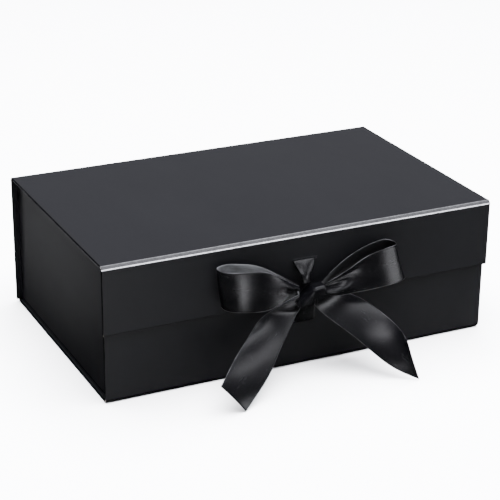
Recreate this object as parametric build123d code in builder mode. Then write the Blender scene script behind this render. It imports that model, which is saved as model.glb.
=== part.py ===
"""Magnetic flap gift box tied with a ribbon bow, as separate boards, papers and ribbons.

One wrapped strip makes the flap, lid, back, base and front wall, with a paper fold between
neighbours; the side walls stand on the base between the front and back walls. Sizes are in
millimetres: +X runs along the front, -Y is the front, +Z is up, and the origin is the
centre of the base's underside.
"""

import os
from dataclasses import dataclass
from math import hypot, sqrt

from build123d import *

# ---- the closed box, outside ----
box_length = 266.0
box_depth = 168.0
box_height = 90.0
flap_height = 44.0

# ---- sheet materials ----
board = 1.2
paper = 0.2
wrapped = board + 2 * paper  # board with its wrap and the wrap's turn-in
panel = wrapped + paper  # and the liner over the turn-in
fold_ease = 0.1
fold_leg = panel + fold_ease  # how far each panel stops short of a folded edge
pivot_gap = 0.25  # from a turning fold's axis to the paper on each side of it
turn_in = 15.0
liner_margin = 3.0
liner_ease = 0.2  # round a liner that stops beside a wall
liner_end = 0.4  # from a liner's end to its panel's folded end

# ---- how the panels stand to each other ----
flap_gap = 0.5
lid_clearance = 0.3
side_recess = 4.0
front_inset = 1.2
base_inset = 1.6
wall_fit = 0.1  # each end of a side wall

# ---- corner angles and tape ----
angle_leg = 18.0
angle_card = 0.4
angle_short = 3.0  # below the walls' top
angle_foot = 1.0  # above the base
tape = 0.15
tape_width = 12.0
tape_short = 8.0

# ---- magnets and strike plates ----
magnet_radius = 5.0
pocket_ease = 0.1
magnet_from_middle = 96.0
magnet_up = 12.0  # above the flap's lower edge
strike_width = 20.0
strike_height = 14.0
strike_thickness = 0.6

# ---- ribbon ----
ribbon_width = 25.4
ribbon_solid = 0.4
slit_x = -0.5
slit_width = 16.4
slit_height = 0.8
upper_slit_up = 26.8  # above the flap's lower edge
lower_slit_down = 15.5  # below the flap's lower edge
upper_lead_width = 14.6
lower_lead_width = 13.6
anchor_length = 20.0
upper_lead_out = 1.0  # how far a lead stands out of its slit before it bends
lower_lead_out = 2.7
lead_split = 9.0  # the lower lead's two pieces meet this far below the flap's edge
lead_gap = 0.5
split_out = 2.4  # and this far in front of the flap
upper_knot_out = 8.0  # where the leads reach the knot, in front of the flap
lower_knot_out = 4.5
knot_size = (19.0, 12.0, 16.6)
knot_round = 2.5
knot_x = -1.0
knot_out = 9.0  # the knot's centre in front of the flap
knot_up = 7.5  # the knot's centre above the flap's lower edge
loop_root = 9.2  # a loop starts just inside the side of the knot
loop_solid = 0.6
floor_gap = 0.4

# ---- places worked out from those ----
flap_y = -box_depth / 2
back_y = box_depth / 2
front_y = flap_y + panel + flap_gap
flap_low = box_height - flap_height
wall_top = box_height - panel - lid_clearance
side_x = box_length / 2 - side_recess
upper_slit_z = flap_low + upper_slit_up
lower_slit_z = flap_low - lower_slit_down
knot_z = flap_low + knot_up
knot_y = flap_y - knot_out
knot_top = knot_z + knot_size[2] / 2
knot_low = knot_z - knot_size[2] / 2
BEYOND = 1.0  # how far a cutting block passes an open end

FROM_FACE = (Align.CENTER, Align.CENTER, Align.MIN)


def slab(face, depth, thickness, span, mode=Mode.ADD):
    """Lays a flat layer in the open part; span is (low x, high x, low y, high y) on face."""
    low_x, high_x, low_y, high_y = span
    with Locations(face):
        with Locations(((low_x + high_x) / 2, (low_y + high_y) / 2, depth)):
            Box(high_x - low_x, high_y - low_y, thickness, align=FROM_FACE, mode=mode)


@dataclass
class Panel:
    """A wrapped board: face is its outer face, with z into the box and y away from low."""

    face: Plane
    width: float
    height: float
    low_fold: bool
    high_fold: bool
    liner_side: float = liner_margin
    liner_low: float = liner_margin
    liner_high: float = liner_margin

    def span(self, side, low, high, at_fold):
        """A rectangle set in from the panel's four edges; folded ends take at_fold."""
        half_width, half_height = self.width / 2, self.height / 2
        low = at_fold if self.low_fold else low
        high = at_fold if self.high_fold else high
        return (-half_width + side, half_width - side, -half_height + low, half_height - high)

    def lay_board(self):
        """Greyboard, one paper short of each wrapped edge."""
        slab(self.face, paper, board, self.span(paper, paper, paper, 0))

    def lay_wrap(self):
        """Outer sheet, round the edges and turned in behind the board."""
        slab(self.face, 0, wrapped, self.span(0, 0, 0, 0))
        core = self.span(paper, paper, paper, -BEYOND)
        slab(self.face, paper, board, core, Mode.SUBTRACT)
        window = self.span(turn_in, turn_in, turn_in, -BEYOND)
        slab(self.face, paper + board, paper + BEYOND, window, Mode.SUBTRACT)

    def lay_liner(self):
        """Inner sheet: down on the board in the middle, and up over the turn-ins around."""
        rim = self.span(self.liner_side, self.liner_low, self.liner_high, liner_end)
        slab(self.face, wrapped, paper, rim)
        slab(self.face, paper + board, paper, self.span(turn_in, turn_in, turn_in, liner_end))
        inside = turn_in + paper
        dip = self.span(inside, inside, inside, -BEYOND)
        slab(self.face, wrapped, paper, dip, Mode.SUBTRACT)

    def cut_slit(self, x, y):
        """Cuts the ribbon's slit through the layers laid so far, at x, y on the face."""
        span = (x - slit_width / 2, x + slit_width / 2, y - slit_height / 2, y + slit_height / 2)
        slab(self.face, -BEYOND, panel + 2 * BEYOND, span, Mode.SUBTRACT)


def lower_fold(panel_corner, wall_corner, inward):
    """Profile of the fold between the base and a wall, cut flush with both panels' ends."""
    step = sqrt(2) * paper
    (base_y, base_z), (wall_y, wall_z) = panel_corner, wall_corner
    with BuildSketch(Plane.YZ) as profile:
        Polygon(
            (base_y, base_z),
            (wall_y, wall_z),
            (wall_y + inward * step, wall_z),
            (base_y, base_z + step),
            align=None,
        )
    return profile.sketch


def turning_fold(corner, pivot, inside):
    """Profile of one half of a turning fold, from a panel's corner nearly to the pivot."""
    step = sqrt(2) * paper
    run = (corner[0] - pivot[0], corner[1] - pivot[1])
    length = hypot(*run)
    start = (pivot[0] + run[0] / length * pivot_gap, pivot[1] + run[1] / length * pivot_gap)
    inner = paper / sqrt(2)
    toward_box = -1 if pivot[0] > 0 else 1
    with BuildSketch(Plane.YZ) as profile:
        Polygon(
            corner,
            start,
            (start[0] + toward_box * inner, start[1] - inner),
            (corner[0] + inside[0] * step, corner[1] + inside[1] * step),
            align=None,
        )
    return profile.sketch


# ---- panels ----
side_top = wall_top
side_foot = wrapped
side_length = (back_y - wrapped) - (front_y + wrapped) - 2 * wall_fit
side_middle = ((back_y - wrapped) + (front_y + wrapped)) / 2
side_height = side_top - side_foot
base_front, base_back = front_y + fold_leg, back_y - fold_leg
lid_front, lid_back = flap_y + fold_leg, back_y - fold_leg
fold_low, fold_high = fold_leg, box_height - fold_leg
beside_wall = side_recess + panel + liner_ease  # from the lid's end to clear of a side wall

base = Panel(
    Plane((0, (base_front + base_back) / 2, 0), x_dir=(1, 0, 0), z_dir=(0, 0, 1)),
    box_length - 2 * base_inset,
    base_back - base_front,
    low_fold=True,
    high_fold=True,
    liner_side=beside_wall - base_inset,
)
back = Panel(
    Plane((0, back_y, (fold_low + fold_high) / 2), x_dir=(1, 0, 0), z_dir=(0, -1, 0)),
    box_length,
    fold_high - fold_low,
    low_fold=True,
    high_fold=True,
    liner_side=beside_wall,
)
front = Panel(
    Plane((0, front_y, (fold_low + wall_top) / 2), x_dir=(-1, 0, 0), z_dir=(0, 1, 0)),
    box_length - 2 * front_inset,
    wall_top - fold_low,
    low_fold=True,
    high_fold=False,
    liner_side=beside_wall - front_inset,
)
left = Panel(
    Plane((-side_x, side_middle, (side_foot + side_top) / 2), x_dir=(0, 1, 0), z_dir=(1, 0, 0)),
    side_length,
    side_height,
    low_fold=False,
    high_fold=False,
    liner_side=1.0,
    liner_low=1.0,
)
right = Panel(
    Plane((side_x, side_middle, (side_foot + side_top) / 2), x_dir=(0, -1, 0), z_dir=(-1, 0, 0)),
    side_length,
    side_height,
    low_fold=False,
    high_fold=False,
    liner_side=1.0,
    liner_low=1.0,
)
lid = Panel(
    Plane((0, (lid_front + lid_back) / 2, box_height), x_dir=(1, 0, 0), z_dir=(0, 0, -1)),
    box_length,
    lid_back - lid_front,
    low_fold=True,
    high_fold=True,
)
flap = Panel(
    Plane((0, flap_y, (flap_low + fold_high) / 2), x_dir=(-1, 0, 0), z_dir=(0, 1, 0)),
    box_length,
    fold_high - flap_low,
    low_fold=False,
    high_fold=True,
)

parts = {}

# ---- base ----
with BuildPart() as base_board:
    base.lay_board()
parts["base_board"] = base_board

with BuildPart() as base_wrap:
    base.lay_wrap()
    extrude(
        lower_fold((base_front, 0), (front_y, fold_low), inward=1),
        amount=base.width / 2,
        both=True,
    )
    extrude(
        lower_fold((base_back, 0), (back_y, fold_low), inward=-1),
        amount=base.width / 2,
        both=True,
    )
parts["base_wrap"] = base_wrap

with BuildPart() as base_liner:
    base.lay_liner()
parts["base_liner"] = base_liner

# ---- back wall, with its half of the lid's fold ----
lid_pivot = (back_y - fold_leg / 2, box_height - fold_leg / 2)

with BuildPart() as back_board:
    back.lay_board()
parts["back_board"] = back_board

with BuildPart() as back_wrap:
    back.lay_wrap()
    extrude(
        turning_fold((back_y, fold_high), lid_pivot, inside=(-1, 0)),
        amount=box_length / 2,
        both=True,
    )
parts["back_wrap"] = back_wrap

with BuildPart() as back_liner:
    back.lay_liner()
parts["back_liner"] = back_liner

# ---- front wall: the lower slit, the lead's bed and the strike plates ----
front_middle = (fold_low + wall_top) / 2
lower_slit_y = lower_slit_z - front_middle
bed_depth = paper + board - ribbon_solid
lower_bed = (
    -slit_x - slit_width / 2,
    -slit_x + slit_width / 2,
    lower_slit_y,
    lower_slit_y + anchor_length,
)
strike_y = flap_low + magnet_up - front_middle
strikes = {"left_strike_plate": magnet_from_middle, "right_strike_plate": -magnet_from_middle}

with BuildPart() as front_board:
    front.lay_board()
    front.cut_slit(-slit_x, lower_slit_y)
    slab(front.face, bed_depth, ribbon_solid, lower_bed, Mode.SUBTRACT)
    for strike_x in strikes.values():
        half = strike_width / 2 + pocket_ease
        rise = strike_height / 2 + pocket_ease
        pocket = (strike_x - half, strike_x + half, strike_y - rise, strike_y + rise)
        slab(front.face, paper, strike_thickness, pocket, Mode.SUBTRACT)
parts["front_board"] = front_board

with BuildPart() as front_wrap:
    front.lay_wrap()
    front.cut_slit(-slit_x, lower_slit_y)
parts["front_wrap"] = front_wrap

with BuildPart() as front_liner:
    front.lay_liner()
parts["front_liner"] = front_liner

for strike_name, strike_x in strikes.items():
    with BuildPart() as strike_plate:
        with Locations(front.face):
            with Locations((strike_x, strike_y, paper)):
                Box(strike_width, strike_height, strike_thickness, align=FROM_FACE)
        fillet(strike_plate.edges().filter_by(Axis.Y), 1.5)
    parts[strike_name] = strike_plate

# ---- side walls ----
for side_name, side in {"left": left, "right": right}.items():
    with BuildPart() as side_board:
        side.lay_board()
    parts[side_name + "_board"] = side_board

    with BuildPart() as side_wrap:
        side.lay_wrap()
    parts[side_name + "_wrap"] = side_wrap

    with BuildPart() as side_liner:
        side.lay_liner()
    parts[side_name + "_liner"] = side_liner

# ---- corner angles that hold the sides, and the tape behind each ----
angle_low = panel + angle_foot
angle_high = wall_top - angle_short
inner_x = side_x - panel
inner_y = {"front": (front_y + panel, 1), "back": (back_y - panel, -1)}

for side_name, outward in {"left": -1, "right": 1}.items():
    for end_name, (wall_y, toward_middle) in inner_y.items():
        corner_x = outward * inner_x
        corner_y = wall_y + toward_middle * tape
        with BuildPart() as corner_angle:
            with BuildSketch(Plane.XY.offset(angle_low)):
                Polygon(
                    (corner_x, corner_y),
                    (corner_x - outward * angle_leg, corner_y),
                    (corner_x - outward * angle_leg, corner_y + toward_middle * angle_card),
                    (corner_x - outward * angle_card, corner_y + toward_middle * angle_card),
                    (corner_x - outward * angle_card, corner_y + toward_middle * angle_leg),
                    (corner_x, corner_y + toward_middle * angle_leg),
                    align=None,
                )
            extrude(amount=angle_high - angle_low)
        parts[end_name + "_" + side_name + "_corner_angle"] = corner_angle

        tape_x = corner_x - outward * (angle_leg - tape_width / 2 - 1)
        tape_y = wall_y + toward_middle * tape / 2
        with BuildPart() as tape_strip:
            with Locations((tape_x, tape_y, (angle_low + angle_high) / 2)):
                Box(tape_width, tape, angle_high - angle_low - 2 * tape_short)
        parts[end_name + "_" + side_name + "_tape"] = tape_strip

# ---- lid, with its half of each turning fold ----
flap_pivot = (flap_y + fold_leg / 2, box_height - fold_leg / 2)

with BuildPart() as lid_board:
    lid.lay_board()
parts["lid_board"] = lid_board

with BuildPart() as lid_wrap:
    lid.lay_wrap()
    for corner, pivot in (
        ((lid_back, box_height), lid_pivot),
        ((lid_front, box_height), flap_pivot),
    ):
        extrude(
            turning_fold(corner, pivot, inside=(0, -1)), amount=box_length / 2, both=True
        )
parts["lid_wrap"] = lid_wrap

with BuildPart() as lid_liner:
    lid.lay_liner()
parts["lid_liner"] = lid_liner

# ---- flap: the upper slit, the lead's bed and the magnets ----
flap_middle = (flap_low + fold_high) / 2
upper_slit_y = upper_slit_z - flap_middle
upper_bed = (
    -slit_x - slit_width / 2,
    -slit_x + slit_width / 2,
    upper_slit_y - anchor_length,
    upper_slit_y,
)
magnet_y = flap_low + magnet_up - flap_middle
magnets = {"left_magnet": magnet_from_middle, "right_magnet": -magnet_from_middle}

with BuildPart() as flap_board:
    flap.lay_board()
    flap.cut_slit(-slit_x, upper_slit_y)
    slab(flap.face, bed_depth, ribbon_solid, upper_bed, Mode.SUBTRACT)
    with Locations(flap.face):
        with Locations(*[(magnet_x, magnet_y, paper) for magnet_x in magnets.values()]):
            Cylinder(magnet_radius + pocket_ease, board, align=FROM_FACE, mode=Mode.SUBTRACT)
parts["flap_board"] = flap_board

with BuildPart() as flap_wrap:
    flap.lay_wrap()
    flap.cut_slit(-slit_x, upper_slit_y)
    extrude(
        turning_fold((flap_y, fold_high), flap_pivot, inside=(1, 0)),
        amount=box_length / 2,
        both=True,
    )
parts["flap_wrap"] = flap_wrap

with BuildPart() as flap_liner:
    flap.lay_liner()
parts["flap_liner"] = flap_liner

for magnet_name, magnet_x in magnets.items():
    with BuildPart() as magnet:
        with Locations(flap.face):
            with Locations((magnet_x, magnet_y, paper)):
                Cylinder(magnet_radius, board, align=FROM_FACE)
        chamfer(magnet.edges().filter_by(GeomType.CIRCLE), 0.15)
    parts[magnet_name] = magnet

# ---- knot ----
with BuildPart() as knot:
    with Locations((knot_x, knot_y, knot_z)):
        Box(*knot_size)
    fillet(knot.edges().filter_by(Axis.X), knot_round)
    fillet(knot.edges().filter_by(Axis.Z), knot_round / 2)
parts["knot"] = knot

# ---- ribbon leads: anchored behind the liners, out through the slits, up or down to the knot ----
half_ribbon = ribbon_solid / 2


def lead_anchor(face, slit_y, width, out, upward):
    """Lays a lead's glued end, above or below its slit, and the run through the slit."""
    sides = (-slit_x - width / 2, -slit_x + width / 2)
    slit_side = slit_y - upward * half_ribbon
    glued_end = slit_y + upward * (anchor_length - BEYOND)
    ends = (min(slit_side, glued_end), max(slit_side, glued_end))
    slab(face, bed_depth, ribbon_solid, (*sides, *ends))
    through = (*sides, slit_y - half_ribbon, slit_y + half_ribbon)
    slab(face, -out, out + bed_depth, through)


def lead_run(bend, far_out, far_z):
    """Profile of a lead's free run, from its bend to the given place before the flap."""
    bend_y, bend_z = bend
    rise = half_ribbon if far_z < bend_z else -half_ribbon
    far_y = flap_y - far_out
    with BuildSketch(Plane.YZ) as profile:
        Polygon(
            (bend_y, bend_z + rise),
            (bend_y, bend_z - rise),
            (far_y + half_ribbon, far_z),
            (far_y - half_ribbon, far_z),
            align=None,
        )
    return profile.sketch


with BuildPart() as upper_lead:
    lead_anchor(flap.face, upper_slit_y, upper_lead_width, upper_lead_out, upward=-1)
    upper_run = lead_run((flap_y - upper_lead_out, upper_slit_z), upper_knot_out, knot_top)
    extrude(upper_run.moved(Location((slit_x, 0, 0))), amount=upper_lead_width / 2, both=True)
parts["upper_lead"] = upper_lead

split_z = flap_low - lead_split
lower_bend_y = front_y - lower_lead_out

with BuildPart() as lower_lead:
    lead_anchor(front.face, lower_slit_y, lower_lead_width, lower_lead_out, upward=1)
    lower_run = lead_run((lower_bend_y, lower_slit_z), split_out, split_z)
    extrude(lower_run.moved(Location((slit_x, 0, 0))), amount=lower_lead_width / 2, both=True)
parts["lower_lead"] = lower_lead

with BuildPart() as lower_lead_end:
    end_foot = (flap_y - split_out, split_z + lead_gap)
    end_run = lead_run(end_foot, lower_knot_out, knot_low)
    extrude(end_run.moved(Location((slit_x, 0, 0))), amount=lower_lead_width / 2, both=True)
parts["lower_lead_end"] = lower_lead_end

# ---- loops: a bent band each, out from the knot, back along the flap and forward again ----
loop_path = ((24.0, 4.6), (44.0, 2.6), (60.0, 6.4), (46.0, 14.6), (24.0, 14.2))  # out, forward
loops = {
    "left_loop": (-1, 4.0, 6.5),  # side, slope in degrees, root centre above the knot's
    "right_loop": (1, 4.0, 6.5),
}

for loop_name, (side, slope, rise) in loops.items():
    outward = Vector(side, 0, 0).rotate(Axis.Y, -side * slope)
    across = Vector(0, 0, 1).rotate(Axis.Y, -side * slope)
    root = Plane((knot_x, flap_y, knot_z + rise), x_dir=outward, z_dir=across)
    with BuildPart() as loop:
        with BuildSketch(root):
            with BuildLine():
                Spline(
                    (loop_root, -side * (knot_out - 1)),
                    *[(out, -side * forward) for out, forward in loop_path],
                    (loop_root, -side * (knot_out + 1)),
                )
            trace(line_width=loop_solid)
        extrude(amount=ribbon_width / 2, both=True)
        add(knot.part, mode=Mode.SUBTRACT)
    parts[loop_name] = loop


# ---- tails: a thin band each through four stations, down and forward to the floor ----
def station(centre, across, along):
    """A plane across a tail, with x along the ribbon's width."""
    across = Vector(*across).normalized()
    along = Vector(*along)
    return Plane(centre, x_dir=across, z_dir=along - across * along.dot(across))


tail_drop = knot_low - floor_gap


def tail_place(x, out, share, width, tilt):
    """Centre of a station: share is how high it is between the floor and the knot's foot."""
    foot = floor_gap + width / 2 * tilt
    return (knot_x + x, flap_y - out, foot + share * (tail_drop - width / 2 * tilt))


# each: x from the knot, out from the flap, height share, ribbon's width there, across, along
tails = {
    "left_tail": (
        (-9.0, knot_out, 1.00, 14.0, (-1.0, 0.0, 0.0), (-0.6, -0.1, -0.8)),
        (-18.2, 7.5, 0.93, 22.0, (-1.0, 0.0, 0.06), (-0.8, -0.3, -0.5)),
        (-47.2, 27.0, 0.38, ribbon_width, (-0.89, 0.0, 0.46), (-0.76, -0.5, -0.4)),
        (-66.7, 40.8, 0.00, ribbon_width, (-0.63, 0.0, 0.77), (-0.76, -0.5, -0.4)),
    ),
    "right_tail": (
        (8.0, knot_out, 1.00, 14.0, (1.0, 0.0, 0.0), (0.5, -0.1, -0.8)),
        (19.0, 8.0, 0.93, 24.0, (1.0, 0.0, 0.06), (0.6, -0.5, -0.6)),
        (34.0, 21.0, 0.55, ribbon_width, (0.78, 0.0, 0.62), (0.57, -0.62, -0.55)),
        (51.0, 45.0, 0.00, ribbon_width, (-0.10, 0.0, 0.99), (0.57, -0.62, -0.55)),
    ),
}

for tail_name, stations in tails.items():
    with BuildPart() as tail:
        for x, out, share, width, across, along in stations:
            place = tail_place(x, out, share, width, across[2])
            with BuildSketch(station(place, across, along)):
                Rectangle(width, ribbon_solid)
        loft(ruled=True)
        add(knot.part, mode=Mode.SUBTRACT)
    parts[tail_name] = tail

# ---- one STEP file for each piece ----
os.makedirs("parts", exist_ok=True)
for name, piece in parts.items():
    piece.part.label = name
    export_step(piece.part, f"parts/{name}.step")
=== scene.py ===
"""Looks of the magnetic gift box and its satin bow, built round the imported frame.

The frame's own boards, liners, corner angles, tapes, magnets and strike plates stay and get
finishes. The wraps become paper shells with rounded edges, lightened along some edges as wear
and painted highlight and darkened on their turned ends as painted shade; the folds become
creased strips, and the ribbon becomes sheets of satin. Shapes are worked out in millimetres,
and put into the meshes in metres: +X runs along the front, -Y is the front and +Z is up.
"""

import logging
import math
from dataclasses import dataclass
from enum import Enum

import bmesh
import bpy
import numpy as np
from bpy.types import ID, Material, NodeSocket, Object
from mathutils import Matrix, Vector


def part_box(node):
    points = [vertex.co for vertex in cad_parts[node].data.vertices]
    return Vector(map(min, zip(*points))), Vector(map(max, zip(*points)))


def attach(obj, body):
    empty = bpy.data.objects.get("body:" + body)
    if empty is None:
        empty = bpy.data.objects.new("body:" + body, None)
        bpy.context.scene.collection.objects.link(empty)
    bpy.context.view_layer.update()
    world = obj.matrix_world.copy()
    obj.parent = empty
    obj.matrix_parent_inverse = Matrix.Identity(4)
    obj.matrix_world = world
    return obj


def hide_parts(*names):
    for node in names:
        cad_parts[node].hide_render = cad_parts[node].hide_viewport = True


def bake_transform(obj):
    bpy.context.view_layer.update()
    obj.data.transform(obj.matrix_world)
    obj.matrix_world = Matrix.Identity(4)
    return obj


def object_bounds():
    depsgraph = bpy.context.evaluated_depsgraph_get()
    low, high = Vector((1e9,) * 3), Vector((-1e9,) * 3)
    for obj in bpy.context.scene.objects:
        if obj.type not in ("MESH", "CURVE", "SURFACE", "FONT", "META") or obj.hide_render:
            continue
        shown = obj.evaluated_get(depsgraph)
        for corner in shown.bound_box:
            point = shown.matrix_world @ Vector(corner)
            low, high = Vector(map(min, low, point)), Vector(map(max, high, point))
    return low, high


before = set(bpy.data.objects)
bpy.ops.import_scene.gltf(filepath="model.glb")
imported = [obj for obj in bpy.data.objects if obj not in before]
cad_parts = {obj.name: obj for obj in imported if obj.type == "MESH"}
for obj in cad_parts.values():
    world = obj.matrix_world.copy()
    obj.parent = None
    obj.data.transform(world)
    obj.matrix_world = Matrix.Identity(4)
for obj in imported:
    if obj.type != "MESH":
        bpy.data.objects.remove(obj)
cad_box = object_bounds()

MM = 0.001
PAPER = 0.2
CLOTH = 0.28
RIBBON_WIDTH = 25.4
log = logging.getLogger("gift_box")


# ---------------------------------------------------------------- shader maths
class Link:
    """A number, colour or vector on its way between shader nodes.

    Arithmetic on a Link adds Math nodes, so masks and patterns read as expressions.
    """

    def __init__(self, finish: "NodeSheet", socket: NodeSocket) -> None:
        """Keeps the socket and the node sheet that it is on."""
        self.finish = finish
        self.socket = socket

    def _math(self, operation: str, first: object, second: object = 0.0) -> "Link":
        """Adds one Math node and returns its result."""
        return self.finish.node("ShaderNodeMath", {"operation": operation}, {0: first, 1: second})

    def __add__(self, other: object) -> "Link":
        """Sum."""
        return self._math("ADD", self, other)

    __radd__ = __add__

    def __sub__(self, other: object) -> "Link":
        """Difference."""
        return self._math("SUBTRACT", self, other)

    def __rsub__(self, other: object) -> "Link":
        """Difference with the number on the left."""
        return self._math("SUBTRACT", other, self)

    def __mul__(self, other: object) -> "Link":
        """Product."""
        return self._math("MULTIPLY", self, other)

    def sine(self) -> "Link":
        """Sine of an angle in radians."""
        return self._math("SINE", self)

    def least(self, other: object) -> "Link":
        """The smaller of two numbers."""
        return self._math("MINIMUM", self, other)

    def ramp(self, low: float, high: float, at_low: float = 0.0, at_high: float = 1.0) -> "Link":
        """Smooth step from at_low, where this is low, to at_high, where it is high."""
        return self.finish.node(
            "ShaderNodeMapRange",
            {"interpolation_type": "SMOOTHSTEP"},
            {0: self, 1: low, 2: high, 3: at_low, 4: at_high},
        )


class NodeSheet:
    """One material's nodes, and the single way that nodes are added to it."""

    def __init__(self, name: str) -> None:
        """Starts an empty material with only its output."""
        self.material = bpy.data.materials.new(name)
        self.material.use_nodes = True
        self.tree = self.material.node_tree
        self.tree.nodes.clear()

    def node(self, kind: str, settings: dict | None = None, inputs: dict | None = None,
             output: int | str = 0) -> Link:
        """Adds a node.

        Args:
            kind: The node's type.
            settings: Its own options, set before its sockets.
            inputs: A value or a Link for each socket, by name or number.
            output: Which of its outputs to return.

        Returns:
            The chosen output.
        """
        made = self.tree.nodes.new(kind)
        for key, value in (settings or {}).items():
            setattr(made, key, value)
        for key, value in (inputs or {}).items():
            if isinstance(value, Link):
                self.tree.links.new(value.socket, made.inputs[key])
            else:
                made.inputs[key].default_value = value
        return Link(self, made.outputs[output] if len(made.outputs) else None)

    def place(self) -> Link:
        """Object coordinates, in metres in the shared frame."""
        return self.node("ShaderNodeTexCoord", output="Object")

    def noise(self, where: Link, per_metre: float, detail: float = 3.0, rough: float = 0.55,
              stretch: tuple[float, float, float] = (1, 1, 1)) -> Link:
        """Noise from 0 to 1 with features about 1/per_metre across, stretched by axis."""
        scaled = self.node("ShaderNodeVectorMath", {"operation": "MULTIPLY"}, {0: where, 1: stretch})
        return self.node(
            "ShaderNodeTexNoise",
            {},
            {"Vector": scaled, "Scale": per_metre, "Detail": detail, "Roughness": rough},
            "Fac",
        )

    def share(self, name: str) -> Link:
        """A number from 0 to 1 that the mesh has at each point."""
        return self.node("ShaderNodeAttribute", {"attribute_name": name}, output="Fac")

    def mix(self, factor: Link, under: Link | tuple, top: Link | tuple) -> Link:
        """Lays one colour over another by a factor; each is a Link or a plain colour."""
        under, top = (end if isinstance(end, Link) else (*end, 1.0) for end in (under, top))
        inputs = {"Factor": factor, 6: under, 7: top}
        return self.node("ShaderNodeMix", {"data_type": "RGBA"}, inputs, 2)

    def bump(self, height: Link, distance: float, strength: float = 1.0,
             under: Link | None = None) -> Link:
        """A bump from a height of 0 to 1, distance metres high, over another normal."""
        inputs = {"Height": height, "Distance": distance, "Strength": strength}
        if under is not None:
            inputs["Normal"] = under
        return self.node("ShaderNodeBump", {}, inputs, "Normal")

    def surface(self, **sockets: object) -> Material:
        """Ends the material in a Principled shader; underscores in names stand for spaces."""
        named = {key.replace("_", " "): value for key, value in sockets.items()}
        shader = self.node("ShaderNodeBsdfPrincipled", {}, named)
        self.node("ShaderNodeOutputMaterial", {}, {"Surface": shader})
        return self.material


# ---------------------------------------------------------------- finishes
class Finish:
    """What every finish shares; each one has a name and paints its own nodes."""

    def make(self) -> Material:
        """Builds the finish."""
        sheet = NodeSheet(self.name)
        return self.paint(sheet, sheet.place())


@dataclass(frozen=True)
class LaminatedPaper(Finish):
    """Black paper with a matt film: a faint fibre under the film, edges and creases lightened as wear
    and painted highlight, and turned ends darkened as painted shade.
    """

    name: str = "laminated_black_paper"
    low: tuple = (0.0021, 0.00212, 0.0025)
    high: tuple = (0.0029, 0.00294, 0.0034)
    wear_and_highlight_colour: tuple = (0.30, 0.30, 0.31)
    roughness: float = 0.36
    fibre_height: float = 0.000012

    def paint(self, sheet: NodeSheet, place: Link) -> Material:
        """Lays out the finish's nodes.

        A float attribute on the mesh says where the colour is lightened towards pale grey, partly as
        wear and partly as painted highlight on edges and creases. The "turned" attribute says where the
        paper goes round a board's cut end: there the film is rougher, and the colour goes near black as
        painted shade.
        """
        cloud = sheet.noise(place, 14.0, 4.0)
        fibre = sheet.noise(place, 2600.0, 2.0, 0.6)
        scuff = sheet.noise(place, 420.0, 4.0, 0.65)
        # painted highlight and wear: the colour is lightened towards pale grey along edges and creases,
        # broken up by scuff noise
        wear_and_highlight = sheet.share("wear_and_highlight")
        worn_and_highlit = wear_and_highlight * scuff.ramp(0.30, 0.62, 0.62, 1.0)
        colour = sheet.mix(worn_and_highlit, sheet.mix(cloud, self.low, self.high), self.wear_and_highlight_colour)
        smear = sheet.noise(place, 46.0, 3.0, 0.6, (1.0, 0.35, 1.0))
        turned = sheet.share("turned")
        # painted shade: where the paper is turned the colour goes near black, standing in for the shade
        # on end faces and in the gaps between parts
        colour = sheet.mix(turned * (1 - worn_and_highlit), colour, (0.0004, 0.0004, 0.0005))
        rough = self.roughness + (cloud - 0.5) * 0.07 + (smear - 0.5) * 0.05 + turned * 0.5
        wave = sheet.noise(place, 11.0, 1.0)
        flat = sheet.bump(wave, 0.00022)
        return sheet.surface(
            Base_Color=colour,
            Roughness=rough,
            Specular_IOR_Level=0.30,
            Normal=sheet.bump(fibre, self.fibre_height, under=flat),
        )


@dataclass(frozen=True)
class LinerPaper(Finish):
    """Black uncoated paper glued inside: long soft fibres and no film."""

    name: str = "liner_black_paper"
    low: tuple = (0.0062, 0.0062, 0.0069)
    high: tuple = (0.0136, 0.0136, 0.0146)

    def paint(self, sheet: NodeSheet, place: Link) -> Material:
        """Lays out the finish's nodes."""
        fibre = sheet.noise(place, 1500.0, 4.0, 0.7, (1.0, 0.3, 0.6))
        cloud = sheet.noise(place, 60.0, 5.0, 0.6)
        fleck = sheet.noise(place, 900.0, 2.0).ramp(0.70, 0.78)
        colour = sheet.mix(fleck * 0.35, sheet.mix(fibre * 0.5 + cloud * 0.5, self.low, self.high),
                            (0.05, 0.05, 0.052))
        return sheet.surface(
            Base_Color=colour,
            Roughness=0.70 + (cloud - 0.5) * 0.12,
            Specular_IOR_Level=0.35,
            Normal=sheet.bump(fibre, 0.00003),
        )


@dataclass(frozen=True)
class Greyboard(Finish):
    """Recycled board: grey-brown pulp with dark and light flecks."""

    name: str = "recycled_greyboard"

    def paint(self, sheet: NodeSheet, place: Link) -> Material:
        """Lays out the finish's nodes."""
        pulp = sheet.noise(place, 260.0, 6.0, 0.7)
        dark = sheet.noise(place, 700.0, 2.0).ramp(0.66, 0.72)
        light = sheet.noise(place, 520.0, 2.0, 0.5, (1.0, 2.0, 1.0)).ramp(0.68, 0.74)
        colour = sheet.mix(pulp, (0.15, 0.135, 0.12), (0.27, 0.25, 0.225))
        colour = sheet.mix(dark * 0.7, colour, (0.05, 0.045, 0.04))
        colour = sheet.mix(light * 0.6, colour, (0.48, 0.46, 0.43))
        return sheet.surface(
            Base_Color=colour, Roughness=0.86 + pulp * 0.1, Normal=sheet.bump(pulp, 0.00006)
        )


@dataclass(frozen=True)
class EarCard(Finish):
    """Smooth black card of the folded corner angles."""

    name: str = "black_ear_card"

    def paint(self, sheet: NodeSheet, place: Link) -> Material:
        """Lays out the finish's nodes."""
        grain = sheet.noise(place, 1900.0, 3.0, 0.6, (1.0, 1.0, 0.25))
        cloud = sheet.noise(place, 80.0, 3.0)
        return sheet.surface(
            Base_Color=sheet.mix(cloud, (0.011, 0.011, 0.012), (0.019, 0.019, 0.0205)),
            Roughness=0.52 + (cloud - 0.5) * 0.1,
            Normal=sheet.bump(grain, 0.00002),
        )


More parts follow.
